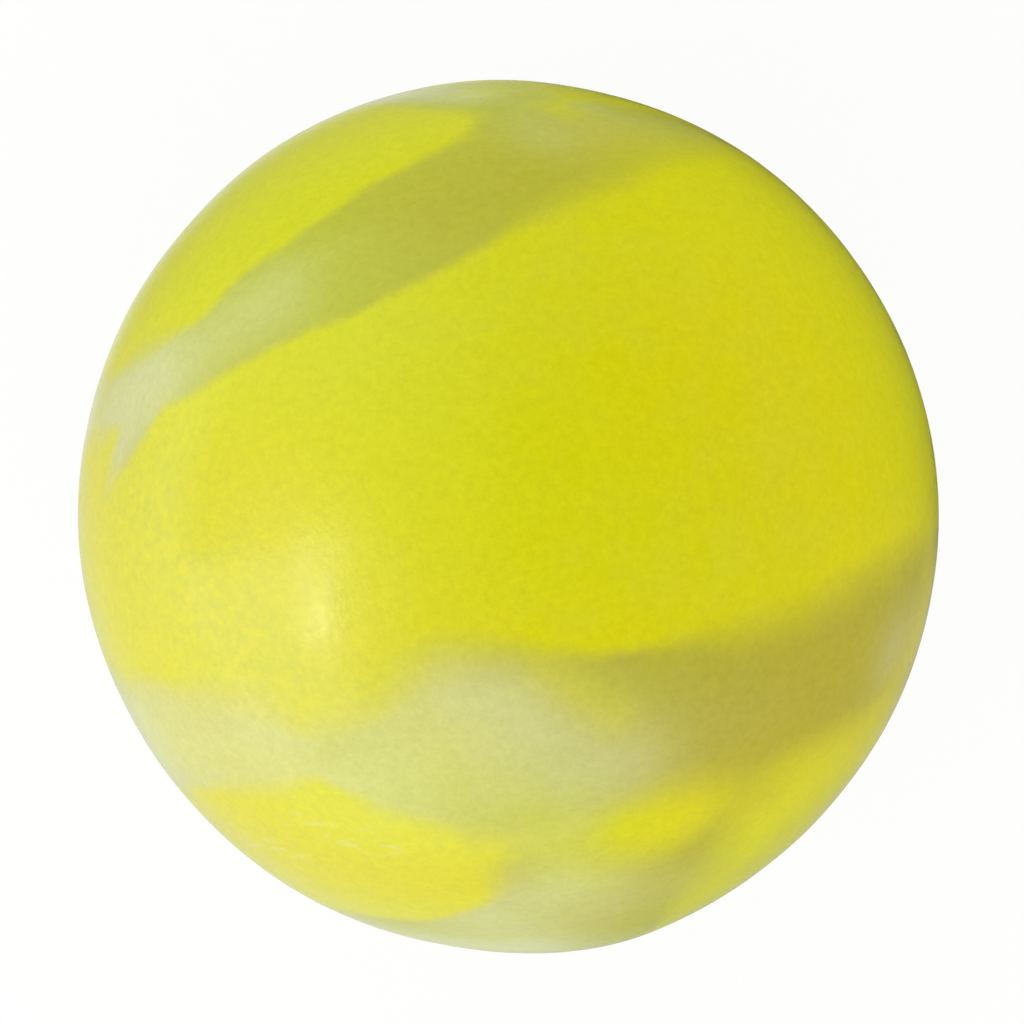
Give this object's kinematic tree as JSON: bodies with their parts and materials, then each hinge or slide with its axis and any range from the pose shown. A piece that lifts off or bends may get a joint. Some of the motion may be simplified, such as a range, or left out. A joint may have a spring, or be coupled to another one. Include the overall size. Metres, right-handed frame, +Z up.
{
  "type": "bouncy ball",
  "caption": "Solid rubber bouncy ball with soft pale swirls marbled into bright yellow, and a fine trimmed mould line around its middle.",
  "frame": {"origin": "centre of the ball", "axes": "+Z up, along the closing direction of the mould, through the middle of the pictured face; X-Y is the parting plane"},
  "size_m": [0.0452, 0.0452, 0.045],
  "materials": {
    "yellow_rubber": "satin, fine tumbled grain",
    "pale_rubber": "satin, slightly see-through"
  },
  "bodies": {
    "root": {"yellow_body": "yellow_rubber", "pale_upper_swirl": "pale_rubber", "pale_lower_swirl": "pale_rubber", "pale_base_swirl": "pale_rubber", "pale_crown_swirl": "pale_rubber", "pale_back_swirl": "pale_rubber", "yellow_lobe": "yellow_rubber", "yellow_fleck": "yellow_rubber"}
  },
  "joints": []
}
